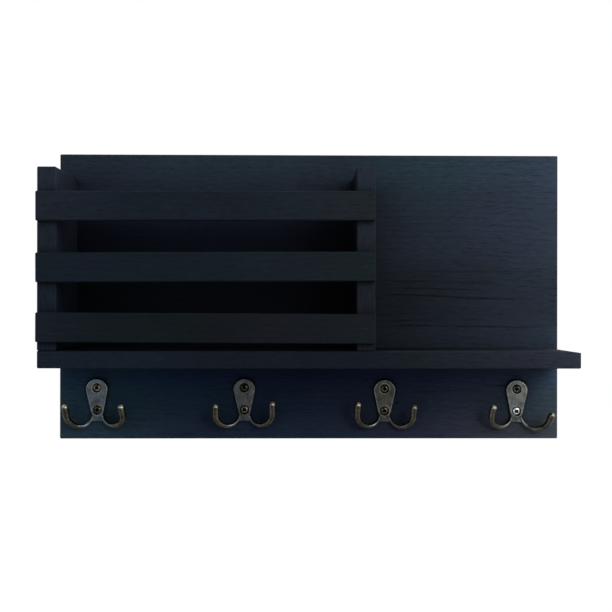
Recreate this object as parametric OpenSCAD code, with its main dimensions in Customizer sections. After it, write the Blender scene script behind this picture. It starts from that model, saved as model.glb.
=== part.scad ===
// Wall mail organizer: a backboard with a full-width shelf, a slatted mail pocket
// standing on the left of the shelf, and four cast double-prong hooks below it.
// X runs to the right, Z up, and the front faces -Y. The origin is the centre of
// the backboard's rear face, which lies against the wall.

/* [Backboard] */
// Width of the backboard, and of the shelf
board_w = 430; // [425:1:480]
// Height of the backboard
board_h = 245; // [232:1:300]
// Thickness of the backboard
board_t = 12; // [10:0.5:18]
// Width of the sanded arris along every board edge
edge_ease = 0.8; // [0.3:0.1:1.5]

/* [Shelf] */
// Depth of the shelf in front of the backboard
shelf_d = 70; // [60:1:100]
// Thickness of the shelf
shelf_t = 14; // [10:0.5:20]
// Height of the shelf's underside above the backboard's bottom edge
shelf_rise = 64.8; // [56:0.1:72]
// Drop of the worn top edge at the shelf's right end
shelf_wear_drop = 1.6; // [0:0.1:4]
// Length over which that top edge is worn down
shelf_wear_len = 17; // [5:1:30]

/* [Mail pocket] */
// Outer width of the pocket over both side panels
pocket_w = 266.8; // [200:0.2:330]
// Thickness of each side panel
panel_t = 15; // [10:0.5:20]
// Height of the side panels above the shelf
panel_h = 145; // [136:1:152]

/* [Slats] */
// Height of each slat
slat_h = 23.3; // [16:0.1:30]
// Thickness of each slat
slat_t = 5; // [4:0.5:8]
// Gap between the shelf and the lowest slat
slat_lift = 6.3; // [3:0.1:12]
// Distance from one slat to the next one up
slat_pitch = 48; // [34:0.1:50]
// Slope of the top slat in degrees, up to the right
slat_top_slope = 0.14; // [-1:0.01:1]
// Slope of the middle slat in degrees, up to the right
slat_middle_slope = 0.28; // [-1:0.01:1]
// Slope of the bottom slat in degrees, up to the right
slat_bottom_slope = -0.24; // [-1:0.01:1]

/* [Coat hook casting] */
// Distance between the two screws of a hook
hook_screw_gap = 19.1; // [18:0.1:26]
// Thickness of the hook's plate
plate_t = 3; // [2.6:0.1:4]
// Radius of the plate's round top
plate_top_r = 9.3; // [8:0.1:12]
// Radius of the plate's waist around the lower screw
plate_waist_r = 5.3; // [5:0.1:7]
// Distance from the lower screw down to the corners of the plate's foot
plate_foot = 10.3; // [9.5:0.1:11]
// Rise of the arch in the foot's bottom edge, between the prongs
foot_arch = 0.7; // [0.3:0.1:1.5]
// Radius of the prong's bend, seen from the front
prong_bend_r = 10.3; // [10:0.1:11.5]
// Depth of the bend's lowest point below the lower screw, to its middle
prong_dip = 13.4; // [12.5:0.1:15.5]
// Sideways reach from the screws to the middle of a prong's tip
prong_reach = 24.3; // [23:0.1:26]
// Height of the middle of a prong's tip above the lower screw
prong_rise = 3.7; // [1:0.1:10]
// Distance of a prong's tip in front of the backboard, to its middle
prong_out = 18.5; // [12:0.5:30]
// How late a prong turns away from the board, where 1 is an even slope
prong_lateness = 1.8; // [1:0.1:2.5]
// Radius of a prong at its tip
prong_tip_r = 3; // [2:0.1:4]
// Half width of a prong where it leaves the plate
prong_root_r = 1.1; // [1:0.1:2]

/* [Coat hook places] */
// Distance of the first hook from the board's left end
hook_1_inset = 32.7; // [30:0.1:65]
// Distance of the second hook from the middle of the board
hook_2_x = -56; // [-90:0.1:-35]
// Distance of the third hook from the middle of the board
hook_3_x = 64.7; // [35:0.1:110]
// Distance of the fourth hook from the board's right end
hook_4_inset = 36.1; // [32:0.1:65]
// Height of the first hook's lower screw above the board's bottom edge
hook_1_z = 25; // [22:0.1:27]
// Height of the second hook's lower screw
hook_2_z = 25.2; // [22:0.1:27]
// Height of the third hook's lower screw
hook_3_z = 24.3; // [22:0.1:27]
// Height of the fourth hook's lower screw
hook_4_z = 24; // [22:0.1:27]
// Lean of each hook in degrees, positive when its top leans right
hook_lean = [-1.4, -0.4, 0.4, 1]; // [-5:0.1:5]
// First hook: left prong's extra reach and rise, then the right prong's
hook_1_bend = [-0.8, 0.3, -0.8, -0.8]; // [-7:0.1:4]
// Second hook: left prong's extra reach and rise, then the right prong's
hook_2_bend = [-0.9, 0, 0.2, 1.7]; // [-7:0.1:4]
// Third hook: left prong's extra reach and rise, then the right prong's
hook_3_bend = [-0.5, 2.2, -0.6, 0.2]; // [-7:0.1:4]
// Fourth hook: left prong's extra reach and rise, then the bent right prong's
hook_4_bend = [-1, -0.1, 1.8, -5.7]; // [-7:0.1:4]

/* [Screws and brads] */
// Radius of a hook screw's shank
hook_screw_r = 1.5; // [1.2:0.1:2]
// Radius of a hook screw's raised head
hook_head_r = 2.9; // [2.6:0.1:3.4]
// Height of the dome on a hook screw's head
hook_head_dome = 0.7; // [0.3:0.1:1]
// Length of a hook screw under its head
hook_screw_len = 11; // [8:0.5:12]
// Width of countersink that shows around a hook screw's head, and how deep its head sits
hook_sink_gap = 1; // [0.2:0.1:1.2]
// Radius of a wood screw's shank
wood_screw_r = 1.75; // [1.5:0.05:2.5]
// Radius of a wood screw's countersunk head
wood_head_r = 3.5; // [3.2:0.1:4.2]
// Length of the wood screws that come in from the back
back_screw_len = 30; // [24:1:32]
// Length of the wood screws that come up through the shelf
shelf_screw_len = 35; // [28:1:45]
// Height of the panels' lower rear screws above the shelf
panel_screw_low = 35; // [28:1:60]
// Height of the panels' upper rear screws above the shelf
panel_screw_high = 120; // [80:1:130]
// Distance of the shelf's outermost rear screws from the board's ends
shelf_screw_inset = 35; // [25:1:65]
// Distance of the screws under each panel from the backboard
under_screw_rear = 24; // [22:1:27]
// Distance of the front screws under each panel from the shelf's front edge
under_screw_front = 22; // [20:1:24]
// Radius of a slat brad
brad_r = 0.7; // [0.5:0.05:1]
// Radius of a slat brad's head
brad_head_r = 1.2; // [1.1:0.1:1.6]
// Length of a slat brad
brad_len = 20; // [14:1:24]
// Depth of a screw or brad head below the wood's surface
head_sink = 0.2; // [0.1:0.1:0.5]
// Clearance between a fastener and the wood or metal around it
fastener_gap = 0.05; // [0.03:0.01:0.1]

/* [Keyhole hangers] */
// Distance of each hanger from the board's end
hanger_inset = 50; // [25:1:115]
// Distance of the hangers' screw seats below the board's top edge
hanger_drop = 28; // [24:1:45]
// Width of a hanger plate
hanger_w = 16; // [14:0.5:20]
// Height of a hanger plate
hanger_h = 44; // [42:1:54]
// Thickness of a hanger plate
hanger_t = 1.6; // [1.2:0.1:2.5]
// Radius of the round entry for the wall screw's head
keyhole_r = 4.5; // [4:0.1:5.5]
// Radius of the narrow slot that the wall screw hangs in
keyhole_slot_r = 2.2; // [1.8:0.1:2.4]
// Distance from the round entry up to the end of the slot
keyhole_run = 11; // [9:0.5:12]
// Depth of the room for the wall screw's head, from the wall
head_room = 6.5; // [6.5:0.5:8]
// Gap around a hanger plate in its recess
hanger_gap = 0.2; // [0.1:0.1:0.5]
// Radius of a hanger screw's shank
hanger_screw_r = 1.25; // [1:0.05:1.5]
// Radius of a hanger screw's head
hanger_head_r = 2.5; // [2.2:0.1:2.8]
// Length of a hanger screw
hanger_screw_len = 9; // [7:0.5:9.5]

/* [Hidden] */
$fn = 48;

// Levels along Z and Y, measured from the origin
board_bottom = -board_h / 2;
shelf_bottom = board_bottom + shelf_rise;
shelf_top = shelf_bottom + shelf_t;
shelf_front = -board_t - shelf_d;
hanger_seat_z = board_h / 2 - hanger_drop;

// Edges and middles along X
board_left = -board_w / 2;
pocket_right = board_left + pocket_w;
left_panel_x = board_left + panel_t / 2;
right_panel_x = pocket_right - panel_t / 2;
pocket_mid_x = board_left + pocket_w / 2;
slat_nail_x = (pocket_w - panel_t) / 2;
shelf_screw_x = board_w / 2 - shelf_screw_inset;
hanger_x = board_w / 2 - hanger_inset;

// Slats from the bottom up: their slopes
slat_slopes = [slat_bottom_slope, slat_middle_slope, slat_top_slope];

// Hooks from left to right: place, height and bends
hook_x = [board_left + hook_1_inset, hook_2_x, hook_3_x, board_w / 2 - hook_4_inset];
hook_z = [hook_1_z, hook_2_z, hook_3_z, hook_4_z];
hook_bend = [hook_1_bend, hook_2_bend, hook_3_bend, hook_4_bend];

// Small working values
rim_h = 0.3;
point_r = 0.25;
point_len = 3;
recess_arm = 0.55;
recess_share = 0.68;
recess_depth_share = 0.5;
cut_over = 1;
shelf_screw_count = 4;
plate_edge = 0.8;
plate_fn = 32;
boss_drop = 1.5;
waist_drop = 2;
foot_half_w = 5;
prong_sides = 16;
prong_rings = 26;
prong_tip_rings = 5;
prong_start_angle = 172;
prong_root_y = 1.5;
prong_root_depth = 1.1;
cavity_side = 1.2;

stain = [0.13, 0.16, 0.2];
bronze = [0.42, 0.36, 0.27];
zinc = [0.62, 0.63, 0.66];

// Rectangle a by b with its corners cut off by e
function eased_outline(a, b, e) = [
    [e, 0], [a - e, 0], [a, e], [a, b - e], [a - e, b], [e, b], [0, b - e], [0, e]
];

// Board with all twelve arrises sanded, from the origin to [w, d, h]
module eased_board(w, d, h) {
    intersection() {
        linear_extrude(h) polygon(eased_outline(w, d, edge_ease));
        translate([0, d, 0]) rotate([90, 0, 0])
            linear_extrude(d) polygon(eased_outline(w, h, edge_ease));
        rotate([90, 0, 90])
            linear_extrude(w) polygon(eased_outline(d, h, edge_ease));
    }
}

// Profile of a countersunk screw that points down -Z, grown by g all round
function screw_profile(r, head_r, len, g) =
    let (
        cone_end = -rim_h - (head_r - r),
        tip_start = -len + point_len
    )
    [
        [0, 0], [head_r + g, 0], [head_r + g, -rim_h], [r + g, cone_end],
        [r + g, tip_start], [point_r + g, -len - g], [0, -len - g]
    ];

// Cross recess in a head of radius head_r, cut down from its top
module cross_recess(head_r) {
    reach = head_r * recess_share;
    translate([0, 0, -reach * recess_depth_share]) linear_extrude(reach + cut_over) {
        square([2 * reach, 2 * recess_arm], center = true);
        square([2 * recess_arm, 2 * reach], center = true);
    }
}

// Countersunk screw, its flat head at Z 0 and its point down
module screw(r, head_r, len) {
    difference() {
        rotate_extrude() polygon(screw_profile(r, head_r, len, 0));
        cross_recess(head_r);
    }
}

// Room for such a screw, open above its head
module screw_room(r, head_r, len) {
    rotate_extrude() polygon(screw_profile(r, head_r, len, fastener_gap));
    translate([0, 0, -0.01]) cylinder(r = head_r + fastener_gap, h = cut_over + head_sink);
}

// Places of the fasteners: each module puts its children head out, point in

module from_back(x, z) {
    translate([x, -head_sink, z]) rotate([-90, 0, 0]) children();
}

module from_below(x, y) {
    translate([x, y, shelf_bottom + head_sink]) rotate([180, 0, 0]) children();
}

module rear_panel_places(x) {
    for (rise = [panel_screw_low, panel_screw_high])
        from_back(x, shelf_top + rise) children();
}

module rear_shelf_places() {
    for (i = [0 : shelf_screw_count - 1])
        from_back(shelf_screw_x * (2 * i / (shelf_screw_count - 1) - 1), shelf_bottom + shelf_t / 2)
            children();
}

module under_panel_places(x) {
    for (y = [-board_t - under_screw_rear, shelf_front + under_screw_front])
        from_below(x, y) children();
}

module slat_place(i) {
    translate([pocket_mid_x, shelf_front, shelf_top + slat_lift + i * slat_pitch + slat_h / 2])
        rotate([0, -slat_slopes[i], 0]) children();
}

module brad_places(i) {
    slat_place(i)
        for (side = [-1, 1])
            translate([side * slat_nail_x, -slat_t + head_sink, 0]) rotate([90, 0, 0]) children();
}

module hanger_place(side) {
    translate([side * hanger_x, 0, hanger_seat_z - keyhole_run]) children();
}

module hanger_screw_places() {
    for (z = [keyhole_run / 2 - hanger_pitch() / 2, keyhole_run / 2 + hanger_pitch() / 2])
        translate([0, -head_sink, z]) rotate([-90, 0, 0]) children();
}

// Distance between the two screws of a hanger plate
function hanger_pitch() = hanger_h - 3.2 * hanger_head_r;

module hook_place(n) {
    translate([hook_x[n - 1], -board_t, board_bottom + hook_z[n - 1]])
        rotate([0, hook_lean[n - 1], 0]) children();
}

module hook_screw_places() {
    for (z = [0, hook_screw_gap])
        translate([0, -plate_t, z]) rotate([90, 0, 0]) children();
}

// Boards

module brad_room() {
    rotate_extrude() polygon([
        [0, cut_over], [brad_head_r + fastener_gap, cut_over],
        [brad_head_r + fastener_gap, -brad_head_r + brad_r], [brad_r + fastener_gap, -brad_head_r + brad_r],
        [brad_r + fastener_gap, -brad_len - fastener_gap], [0, -brad_len - fastener_gap]
    ]);
}

// Recess for a hanger plate, and the room for a wall screw's head behind it
module hanger_recess() {
    recess_w = hanger_w + 2 * hanger_gap;
    recess_h = hanger_h + 2 * hanger_gap;
    cavity_w = 2 * (keyhole_r + cavity_side);
    translate([-recess_w / 2, -hanger_t - head_sink, (keyhole_run - recess_h) / 2])
        cube([recess_w, hanger_t + head_sink + cut_over, recess_h]);
    translate([-cavity_w / 2, -head_room, -cavity_w / 2])
        cube([cavity_w, head_room, keyhole_run + cavity_w]);
}

module backboard() {
    color(stain) difference() {
        translate([board_left, -board_t, board_bottom]) eased_board(board_w, board_t, board_h);
        for (x = [left_panel_x, right_panel_x])
            rear_panel_places(x) screw_room(wood_screw_r, wood_head_r, back_screw_len);
        rear_shelf_places() screw_room(wood_screw_r, wood_head_r, back_screw_len);
        for (side = [-1, 1])
            hanger_place(side) {
                hanger_recess();
                hanger_screw_places() screw_room(hanger_screw_r, hanger_head_r, hanger_screw_len);
            }
        for (n = [1 : 4])
            hook_place(n) hook_screw_places() hook_screw_room();
    }
}

// Sliver removed from the worn top edge at the shelf's right end
module shelf_wear() {
    steps = 8;
    translate([0, cut_over - board_t, 0]) rotate([90, 0, 0]) linear_extrude(shelf_d + 2 * cut_over)
        polygon(concat(
            [[board_w / 2 + cut_over, shelf_top + cut_over]],
            [for (i = [0 : steps])
                let (s = i / steps)
                [board_w / 2 - shelf_wear_len * (1 - s), shelf_top - shelf_wear_drop * s * s]],
            [[board_w / 2 + cut_over, shelf_top - shelf_wear_drop]]
        ));
}

module shelf() {
    color(stain) difference() {
        translate([board_left, shelf_front, shelf_bottom]) eased_board(board_w, shelf_d, shelf_t);
        rear_shelf_places() screw_room(wood_screw_r, wood_head_r, back_screw_len);
        for (x = [left_panel_x, right_panel_x])
            under_panel_places(x) screw_room(wood_screw_r, wood_head_r, shelf_screw_len);
        if (shelf_wear_drop > 0) shelf_wear();
    }
}

module side_panel(x) {
    color(stain) difference() {
        translate([x - panel_t / 2, shelf_front, shelf_top]) eased_board(panel_t, shelf_d, panel_h);
        rear_panel_places(x) screw_room(wood_screw_r, wood_head_r, back_screw_len);
        under_panel_places(x) screw_room(wood_screw_r, wood_head_r, shelf_screw_len);
        for (i = [0 : 2]) brad_places(i) brad_room();
    }
}

module side_panel_left() {
    side_panel(left_panel_x);
}

module side_panel_right() {
    side_panel(right_panel_x);
}

module slat(i) {
    color(stain) difference() {
        slat_place(i) translate([-pocket_w / 2, -slat_t, -slat_h / 2])
            eased_board(pocket_w, slat_t, slat_h);
        brad_places(i) brad_room();
    }
}

module slat_top() {
    slat(2);
}

module slat_middle() {
    slat(1);
}

module slat_bottom() {
    slat(0);
}

// Brads through the ends of one slat into the panels' front edges
module brads(i) {
    neck = -brad_head_r + brad_r + fastener_gap;
    color(zinc) brad_places(i) rotate_extrude() polygon([
        [0, 0], [brad_head_r, 0], [brad_head_r, neck], [brad_r, neck],
        [brad_r, -brad_len + point_len], [point_r, -brad_len], [0, -brad_len]
    ]);
}

module brads_top_slat() {
    brads(2);
}

module brads_middle_slat() {
    brads(1);
}

module brads_bottom_slat() {
    brads(0);
}

// Coat hooks. A hook's own origin is its lower screw's axis on the board's face.

// Cast plate: a round top that narrows to a waist, and a short foot with an arched bottom edge
module hook_plate() {
    edge_r = plate_top_r - plate_edge;
    waist_edge_r = plate_waist_r - plate_edge;
    top_z = hook_screw_gap - boss_drop;
    arch_r = (foot_half_w * foot_half_w + foot_arch * foot_arch) / (2 * foot_arch);
    rotate([90, 0, 0]) {
        hull() {
            translate([0, top_z, 0]) cylinder(r = plate_top_r, h = plate_t - plate_edge, $fn = plate_fn);
            translate([0, top_z, 0]) cylinder(r = edge_r, h = plate_t, $fn = plate_fn);
            translate([0, -waist_drop, 0])
                cylinder(r = plate_waist_r, h = plate_t - plate_edge, $fn = plate_fn);
            translate([0, -waist_drop, 0]) cylinder(r = waist_edge_r, h = plate_t, $fn = plate_fn);
        }
        difference() {
            translate([-foot_half_w, -plate_foot, 0])
                cube([2 * foot_half_w, plate_foot, plate_t - plate_edge / 2]);
            translate([0, foot_arch - plate_foot - arch_r, -cut_over])
                cylinder(r = arch_r, h = plate_t + 2 * cut_over, $fn = 96);
        }
    }
}

// Middle line of a right-hand prong at share t of its length, as [x, y, z]
function prong_point(t, reach, rise) =
    let (
        mid_x = prong_reach - prong_bend_r,
        mid_z = prong_bend_r - prong_dip,
        bend_angle = 360 - prong_start_angle,
        bend_len = prong_bend_r * bend_angle * PI / 180,
        straight_len = prong_rise - mid_z,
        s = t * (bend_len + straight_len),
        angle = prong_start_angle + bend_angle * min(1, s / bend_len),
        out = prong_root_y + (prong_out - prong_root_y) * pow(t, prong_lateness)
    )
    [
        mid_x + prong_bend_r * cos(angle) + reach * t * t,
        -out,
        mid_z + prong_bend_r * sin(angle) + max(0, s - bend_len) + rise * t * t
    ];

// Half widths of a prong's section at share t, across the front view and front to back
function prong_half_w(t) = prong_root_r + (prong_tip_r - prong_root_r) * t * t * (3 - 2 * t);
function prong_half_d(t) = prong_root_depth + (prong_tip_r - prong_root_depth) * t * t * (3 - 2 * t);

function unit(v) = v / norm(v);

// One ring of points around centre c along direction d, half widths a and b
function ring(c, d, a, b) =
    let (
        across = unit(cross(d, [0, 1, 0])),
        through = cross(across, d)
    )
    [
        for (k = [0 : prong_sides - 1])
            let (turn = 360 * k / prong_sides)
            c + a * cos(turn) * across + b * sin(turn) * through
    ];

// Tapered prong swept along its middle line, with a round tip
module right_prong(reach, rise) {
    step = 0.5 / prong_rings;
    body = [
        for (i = [0 : prong_rings])
            let (
                t = i / prong_rings,
                d = unit(
                    prong_point(min(1, t + step), reach, rise)
                    - prong_point(max(0, t - step), reach, rise)
                )
            )
            ring(prong_point(t, reach, rise), d, prong_half_w(t), prong_half_d(t))
    ];
    tip_dir = unit(prong_point(1, reach, rise) - prong_point(1 - step, reach, rise));
    tip = [
        for (i = [1 : prong_tip_rings])
            let (
                lift = 90 * i / (prong_tip_rings + 0.4),
                r = prong_tip_r * cos(lift)
            )
            ring(prong_point(1, reach, rise) + tip_dir * prong_tip_r * sin(lift), tip_dir, r, r)
    ];
    rings = concat(body, tip);
    count = len(rings);
    points = [for (row = rings) each row];
    faces = concat(
        [[for (k = [prong_sides - 1 : -1 : 0]) k]],
        [for (i = [0 : count - 2], k = [0 : prong_sides - 1])
            let (a = i * prong_sides + k, b = i * prong_sides + (k + 1) % prong_sides)
            [a, b, b + prong_sides, a + prong_sides]],
        [[for (k = [0 : prong_sides - 1]) (count - 1) * prong_sides + k]]
    );
    polyhedron(points, faces);
}

// Shank hole and countersink of a hook screw, through plate and board
module hook_screw_room() {
    sink_r = hook_head_r + hook_sink_gap;
    shank_r = hook_screw_r + fastener_gap;
    hole_end = -hook_sink_gap - hook_screw_len;
    rotate_extrude() polygon([
        [0, cut_over], [sink_r, cut_over], [sink_r, 0], [sink_r, -rim_h],
        [shank_r, -rim_h - (sink_r - shank_r)], [shank_r, hole_end], [0, hole_end]
    ]);
}

module coat_hook(n) {
    bend = hook_bend[n - 1];
    color(bronze) hook_place(n) difference() {
        union() {
            hook_plate();
            right_prong(bend[2], bend[3]);
            mirror([1, 0, 0]) right_prong(bend[0], bend[1]);
        }
        hook_screw_places() hook_screw_room();
    }
}

module coat_hook_1() {
    coat_hook(1);
}

module coat_hook_2() {
    coat_hook(2);
}

module coat_hook_3() {
    coat_hook(3);
}

module coat_hook_4() {
    coat_hook(4);
}

// Raised countersunk screw of a hook, seated in the cone of its countersink
module hook_screw() {
    cone_end = -rim_h - (hook_head_r - hook_screw_r);
    dome_r = (hook_head_r * hook_head_r + hook_head_dome * hook_head_dome) / (2 * hook_head_dome);
    translate([0, 0, fastener_gap - hook_sink_gap]) difference() {
        union() {
            rotate_extrude() polygon([
                [0, 0], [hook_head_r, 0], [hook_head_r, -rim_h], [hook_screw_r, cone_end],
                [hook_screw_r, -hook_screw_len + point_len], [point_r, -hook_screw_len], [0, -hook_screw_len]
            ]);
            intersection() {
                translate([0, 0, hook_head_dome - dome_r]) sphere(r = dome_r, $fn = 96);
                translate([0, 0, -rim_h / 2]) cylinder(r = hook_head_r, h = hook_head_dome + rim_h);
            }
        }
        translate([0, 0, hook_head_dome]) cross_recess(hook_head_r);
    }
}

module hook_screws(n) {
    color(bronze) hook_place(n) hook_screw_places() hook_screw();
}

module hook_1_screws() {
    hook_screws(1);
}

module hook_2_screws() {
    hook_screws(2);
}

module hook_3_screws() {
    hook_screws(3);
}

module hook_4_screws() {
    hook_screws(4);
}

// Wood screws

module rear_screws_left_panel() {
    color(zinc) rear_panel_places(left_panel_x) screw(wood_screw_r, wood_head_r, back_screw_len);
}

module rear_screws_right_panel() {
    color(zinc) rear_panel_places(right_panel_x) screw(wood_screw_r, wood_head_r, back_screw_len);
}

module rear_screws_shelf() {
    color(zinc) rear_shelf_places() screw(wood_screw_r, wood_head_r, back_screw_len);
}

module under_screws_left_panel() {
    color(zinc) under_panel_places(left_panel_x) screw(wood_screw_r, wood_head_r, shelf_screw_len);
}

module under_screws_right_panel() {
    color(zinc) under_panel_places(right_panel_x) screw(wood_screw_r, wood_head_r, shelf_screw_len);
}

// Keyhole hangers, let in flush with the back of the board

module keyhole() {
    circle(r = keyhole_r);
    translate([-keyhole_slot_r, 0]) square([2 * keyhole_slot_r, keyhole_run]);
    translate([0, keyhole_run]) circle(r = keyhole_slot_r);
}

module hanger_outline() {
    r = hanger_w / 2;
    half = hanger_h / 2 - r;
    translate([0, keyhole_run / 2]) {
        for (side = [-1, 1]) translate([0, side * half]) circle(r = r);
        square([hanger_w, 2 * half], center = true);
    }
}

module hanger_plate(side) {
    color(zinc) hanger_place(side) difference() {
        translate([0, -head_sink, 0]) rotate([90, 0, 0]) linear_extrude(hanger_t) difference() {
            hanger_outline();
            keyhole();
        }
        hanger_screw_places() screw_room(hanger_screw_r, hanger_head_r, hanger_screw_len);
    }
}

module hanger_plate_left() {
    hanger_plate(-1);
}

module hanger_plate_right() {
    hanger_plate(1);
}

module hanger_screws(side) {
    color(zinc) hanger_place(side) hanger_screw_places()
        screw(hanger_screw_r, hanger_head_r, hanger_screw_len);
}

module hanger_screws_left() {
    hanger_screws(-1);
}

module hanger_screws_right() {
    hanger_screws(1);
}

backboard();
shelf();
side_panel_left();
side_panel_right();
slat_top();
slat_middle();
slat_bottom();
brads_top_slat();
brads_middle_slat();
brads_bottom_slat();
coat_hook_1();
coat_hook_2();
coat_hook_3();
coat_hook_4();
hook_1_screws();
hook_2_screws();
hook_3_screws();
hook_4_screws();
rear_screws_left_panel();
rear_screws_right_panel();
rear_screws_shelf();
under_screws_left_panel();
under_screws_right_panel();
hanger_plate_left();
hanger_plate_right();
hanger_screws_left();
hanger_screws_right();
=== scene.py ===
# Wall mail organizer in near-black blue stain. The boards, brads, hangers and hidden
# screws are the frame's own solids with finishes made here. The cast hooks and the
# screws that hold them are modelled again, finer, in the same places.
import math

import bmesh
import bpy
from mathutils import Matrix, Vector
from mathutils.kdtree import KDTree


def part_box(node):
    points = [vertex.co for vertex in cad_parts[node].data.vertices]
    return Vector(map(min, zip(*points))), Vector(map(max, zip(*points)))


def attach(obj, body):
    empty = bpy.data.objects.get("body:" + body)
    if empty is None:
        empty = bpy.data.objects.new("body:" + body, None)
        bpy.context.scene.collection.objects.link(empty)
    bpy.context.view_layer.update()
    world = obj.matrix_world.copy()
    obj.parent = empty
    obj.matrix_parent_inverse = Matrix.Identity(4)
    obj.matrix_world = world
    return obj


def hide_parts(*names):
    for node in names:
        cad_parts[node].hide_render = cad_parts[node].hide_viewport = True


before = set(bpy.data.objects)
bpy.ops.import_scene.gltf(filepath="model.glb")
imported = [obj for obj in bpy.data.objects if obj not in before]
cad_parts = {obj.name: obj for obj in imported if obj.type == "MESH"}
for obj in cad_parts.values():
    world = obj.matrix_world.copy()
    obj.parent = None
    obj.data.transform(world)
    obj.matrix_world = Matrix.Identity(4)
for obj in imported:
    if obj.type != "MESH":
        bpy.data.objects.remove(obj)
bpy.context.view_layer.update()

MM = 0.001
X, Y, Z = 0, 1, 2
BOARD_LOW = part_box("backboard")[0]
BOARD_FRONT = BOARD_LOW.y

# The photograph's frame and where its camera stood
IMAGE_SIDE = 612
STRAIGHT_AHEAD = (316.7, 310.6)
CAMERA_PLACE = (-0.0043, BOARD_FRONT - 0.808, -0.0119)
CAMERA_ROLL_DEG = -0.077
CAMERA_TURN_DEG = -0.741
PIXELS_AT_ONE_METRE = 935
SENSOR_WIDTH = 36

# Hook castings, in metres around the middle of the lower screw on the board's face. A bend
# is how far a prong's tip is off, outwards and upwards: the left prong, then the right one
HOOK_LEAN_DEG = (-1.4, -0.4, 0.4, 1)
HOOK_BENDS = (
    (-0.8 * MM, 0.3 * MM, -0.8 * MM, -0.8 * MM),
    (-0.9 * MM, 0, 0.2 * MM, 1.7 * MM),
    (-0.5 * MM, 2.2 * MM, -0.6 * MM, 0.2 * MM),
    (-1 * MM, -0.1 * MM, 1.8 * MM, -5.7 * MM),
)
PLATE_T = 3 * MM
PLATE_TOP_R = 9.3 * MM
PLATE_WAIST_R = 5.3 * MM
PLATE_EDGE = 0.9 * MM
PLATE_FOOT = 10.3 * MM
PLATE_STEPS = 40
EASE_STEPS = 6
FOOT_T = PLATE_T - 0.4 * MM
FOOT_TOP = 2 * MM
FOOT_HALF_W = 5 * MM
FOOT_ARCH = 0.7 * MM
FOOT_STEPS = 16
BOSS_DROP = 1.5 * MM
WAIST_DROP = 2 * MM
BEND_R = 10.3 * MM
PRONG_DIP = 13.4 * MM
PRONG_REACH = 24.3 * MM
PRONG_RISE = 3.7 * MM
PRONG_OUT = 18.5 * MM
PRONG_ROOT_OUT = 1.5 * MM
PRONG_LATENESS = 1.8
PRONG_ROOT_R = 1.1 * MM
PRONG_TIP_R = 3 * MM
PRONG_START_DEG = 172
PRONG_RINGS = 72
PRONG_SIDES = 36
TIP_RINGS = 9
CASTING_VOXEL = 0.26 * MM
CASTING_SMOOTHING = 8
CASTING_CREASE_DEG = 38
SCREW_CREASE_DEG = 30
SINK_R = 3.9 * MM
SHANK_R = 1.5 * MM
HEAD_R = 2.9 * MM
HEAD_RIM = 0.3 * MM
HEAD_DOME = 0.7 * MM
HEAD_DEPTH = SINK_R - HEAD_R - 0.05 * MM
SCREW_LEN = 11 * MM
RIM_RING = 0.08 * MM
RIM_EASE_IN = 0.06 * MM
RIM_EASE_DOWN = 0.1 * MM
DOME_STEPS = 12
SCREW_POINT_R = 0.25 * MM
SCREW_POINT_LEN = 3 * MM
HOOK_SCREW_GAP = 19.1 * MM


def tone(red, green, blue):
    """Linear colour, with alpha, of a tone given in display steps from 0 to 255."""
    def linear(step):
        share = step / 255
        return share / 12.92 if share <= 0.04045 else ((share + 0.055) / 1.055) ** 2.4
    return (linear(red), linear(green), linear(blue), 1)


def fill_ramp(ramp, stops):
    """Gives a colour ramp its stops, pairs of place and tone from low to high."""
    while len(ramp.elements) > 1:
        ramp.elements.remove(ramp.elements[-1])
    place, steps = stops[0]
    ramp.elements[0].position = place
    ramp.elements[0].color = tone(*steps)
    for place, steps in stops[1:]:
        ramp.elements.new(place).color = tone(*steps)


class Flow:
    """A socket in a finish. Sums, differences, products and shares of flows add Math nodes."""

    def __init__(self, graph, socket):
        self.graph = graph
        self.socket = socket

    def math(self, operation, *others):
        values = dict(enumerate((self, *others)))
        return self.graph.node("ShaderNodeMath", {"operation": operation}, values)

    def __add__(self, other):
        return self.math("ADD", other)

    def __sub__(self, other):
        return self.math("SUBTRACT", other)

    def __rsub__(self, other):
        return self.graph.node("ShaderNodeMath", {"operation": "SUBTRACT"}, {0: other, 1: self})

    def __mul__(self, other):
        return self.math("MULTIPLY", other)

    def __truediv__(self, other):
        return self.math("DIVIDE", other)

    def __lt__(self, other):
        return self.math("LESS_THAN", other)

    def __abs__(self):
        return self.math("ABSOLUTE")

    __radd__ = __add__
    __rmul__ = __mul__


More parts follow.
